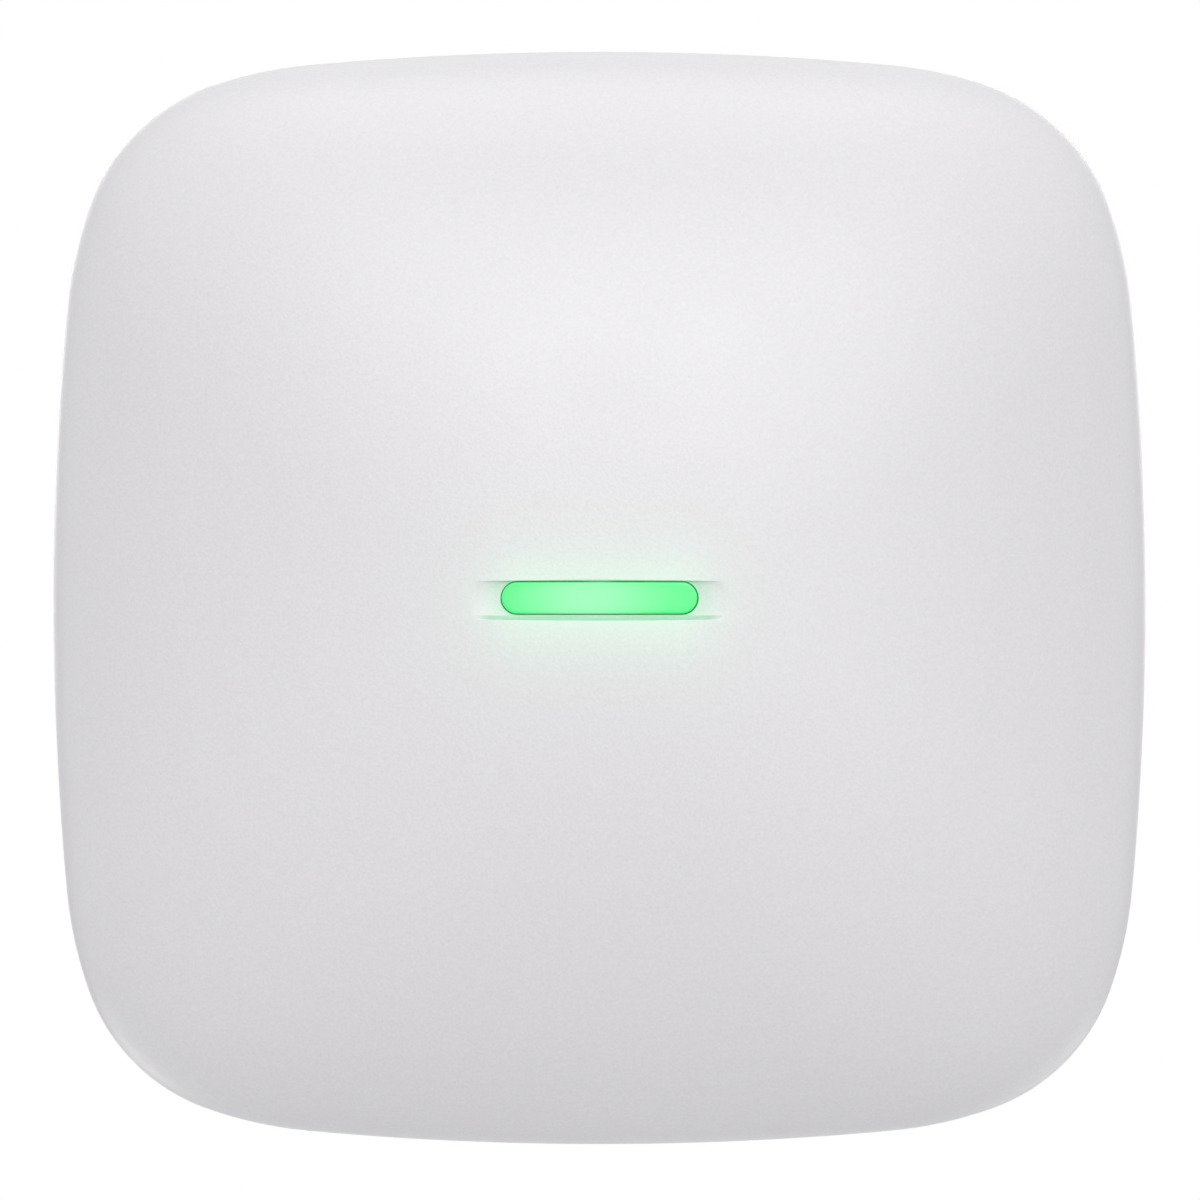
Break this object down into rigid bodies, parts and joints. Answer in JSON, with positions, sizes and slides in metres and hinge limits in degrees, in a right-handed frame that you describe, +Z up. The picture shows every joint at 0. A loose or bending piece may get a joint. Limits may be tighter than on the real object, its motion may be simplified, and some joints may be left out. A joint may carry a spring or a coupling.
{
  "type": "alarm signal repeater",
  "caption": "Square pillow-shaped wall unit with a lit bar window, on a slide-off wall bracket, with a mains inlet in the back and a rechargeable cell inside.",
  "frame": {"origin": "middle of the wall bracket's flat back face, on the case's own centre line, where the bracket meets the wall", "axes": "+Z up the wall, +Y into the wall, so that the lit front faces -Y; +X to the right as seen from the front"},
  "size_m": [0.163, 0.036, 0.163],
  "materials": {
    "cover_plastic": "fine satin-matt texture",
    "housing_plastic": "fine satin-matt texture",
    "bracket_plastic": "matt, plain moulded",
    "window_plastic": "diffusing, lit pale green from behind",
    "guide_acrylic": "clear moulded acrylic",
    "white_plastic": "matt white",
    "lamp_resin": "clear resin over phosphor",
    "board_laminate": "green solder mask",
    "black_resin": "matt black",
    "screw_steel": "zinc plated",
    "spring_steel": "bright drawn wire",
    "tin_plate": "tinned sheet",
    "nickel_brass": "nickel plated",
    "gold_brass": "gold flashed",
    "inlet_plastic": "black, slightly glossy",
    "button_plastic": "mid grey, satin",
    "ferrite": "dark grey ferrite and yellow tape",
    "fuse_case": "black moulded",
    "capacitor_film": "yellow film capacitor box",
    "capacitor_sleeve": "dark heat-shrink sleeve",
    "suppressor_blue": "blue epoxy",
    "barrier_sheet": "translucent insulating sheet",
    "cell_sleeve": "blue shrink sleeve over a steel can",
    "foam": "soft foam with adhesive",
    "connector_plastic": "ivory nylon",
    "wire_red": "red insulation",
    "wire_black": "black insulation",
    "label_paper": "bare silver-grey label"
  },
  "bodies": {
    "bracket": {"wall_bracket": "bracket_plastic"},
    "case": {"front_cover": "cover_plastic", "rear_housing": "housing_plastic", "case_screws": "screw_steel", "blank_label": "label_paper", "indicator_window": "window_plastic", "light_guide": "guide_acrylic", "light_shroud": "white_plastic", "status_lamps": "lamp_resin", "tamper_spring": "spring_steel", "tamper_switch": "black_resin", "power_switch": "black_resin", "main_board": "board_laminate", "main_board_screws": "screw_steel", "radio_shields": "tin_plate", "board_chips": "black_resin", "antenna_left": "tin_plate", "antenna_right": "tin_plate", "board_link_pins": "gold_brass", "board_link_base": "black_resin", "power_board": "board_laminate", "power_board_screws": "screw_steel", "mains_inlet": "inlet_plastic", "mains_pins": "nickel_brass", "transformer": "ferrite", "filter_capacitor": "capacitor_film", "mains_fuse": "fuse_case", "rectifier": "black_resin", "surge_suppressor": "suppressor_blue", "bulk_capacitor": "capacitor_sleeve", "output_capacitor": "capacitor_sleeve", "insulating_barrier": "barrier_sheet", "battery_cell": "cell_sleeve", "battery_guard_board": "board_laminate", "battery_pad": "foam", "battery_strap": "white_plastic", "battery_socket": "connector_plastic", "battery_plug": "connector_plastic", "battery_lead_red": "wire_red", "battery_lead_black": "wire_black"},
    "power_button": {"power_button": "button_plastic", "power_switch_plunger": "white_plastic"},
    "tamper_button": {"tamper_button": "button_plastic"}
  },
  "joints": [
    {"name": "case_slide", "type": "slide", "parent": "bracket", "child": "case", "axis": [0, 0, 1], "range_m": [0, 0.011]},
    {"name": "power_button_press", "type": "slide", "parent": "case", "child": "power_button", "axis": [0, -1, 0], "range_m": [0, 0.001], "stiffness_N_per_m": 800, "springref_m": -0.0008},
    {"name": "tamper_release", "type": "slide", "parent": "case", "child": "tamper_button", "axis": [0, 1, 0], "range_m": [0, 0.0012], "deforming": ["tamper_spring"]}
  ],
  "couplings": [
    {"joint": "tamper_release", "follows": "case_slide", "ratio": 0.109}
  ]
}
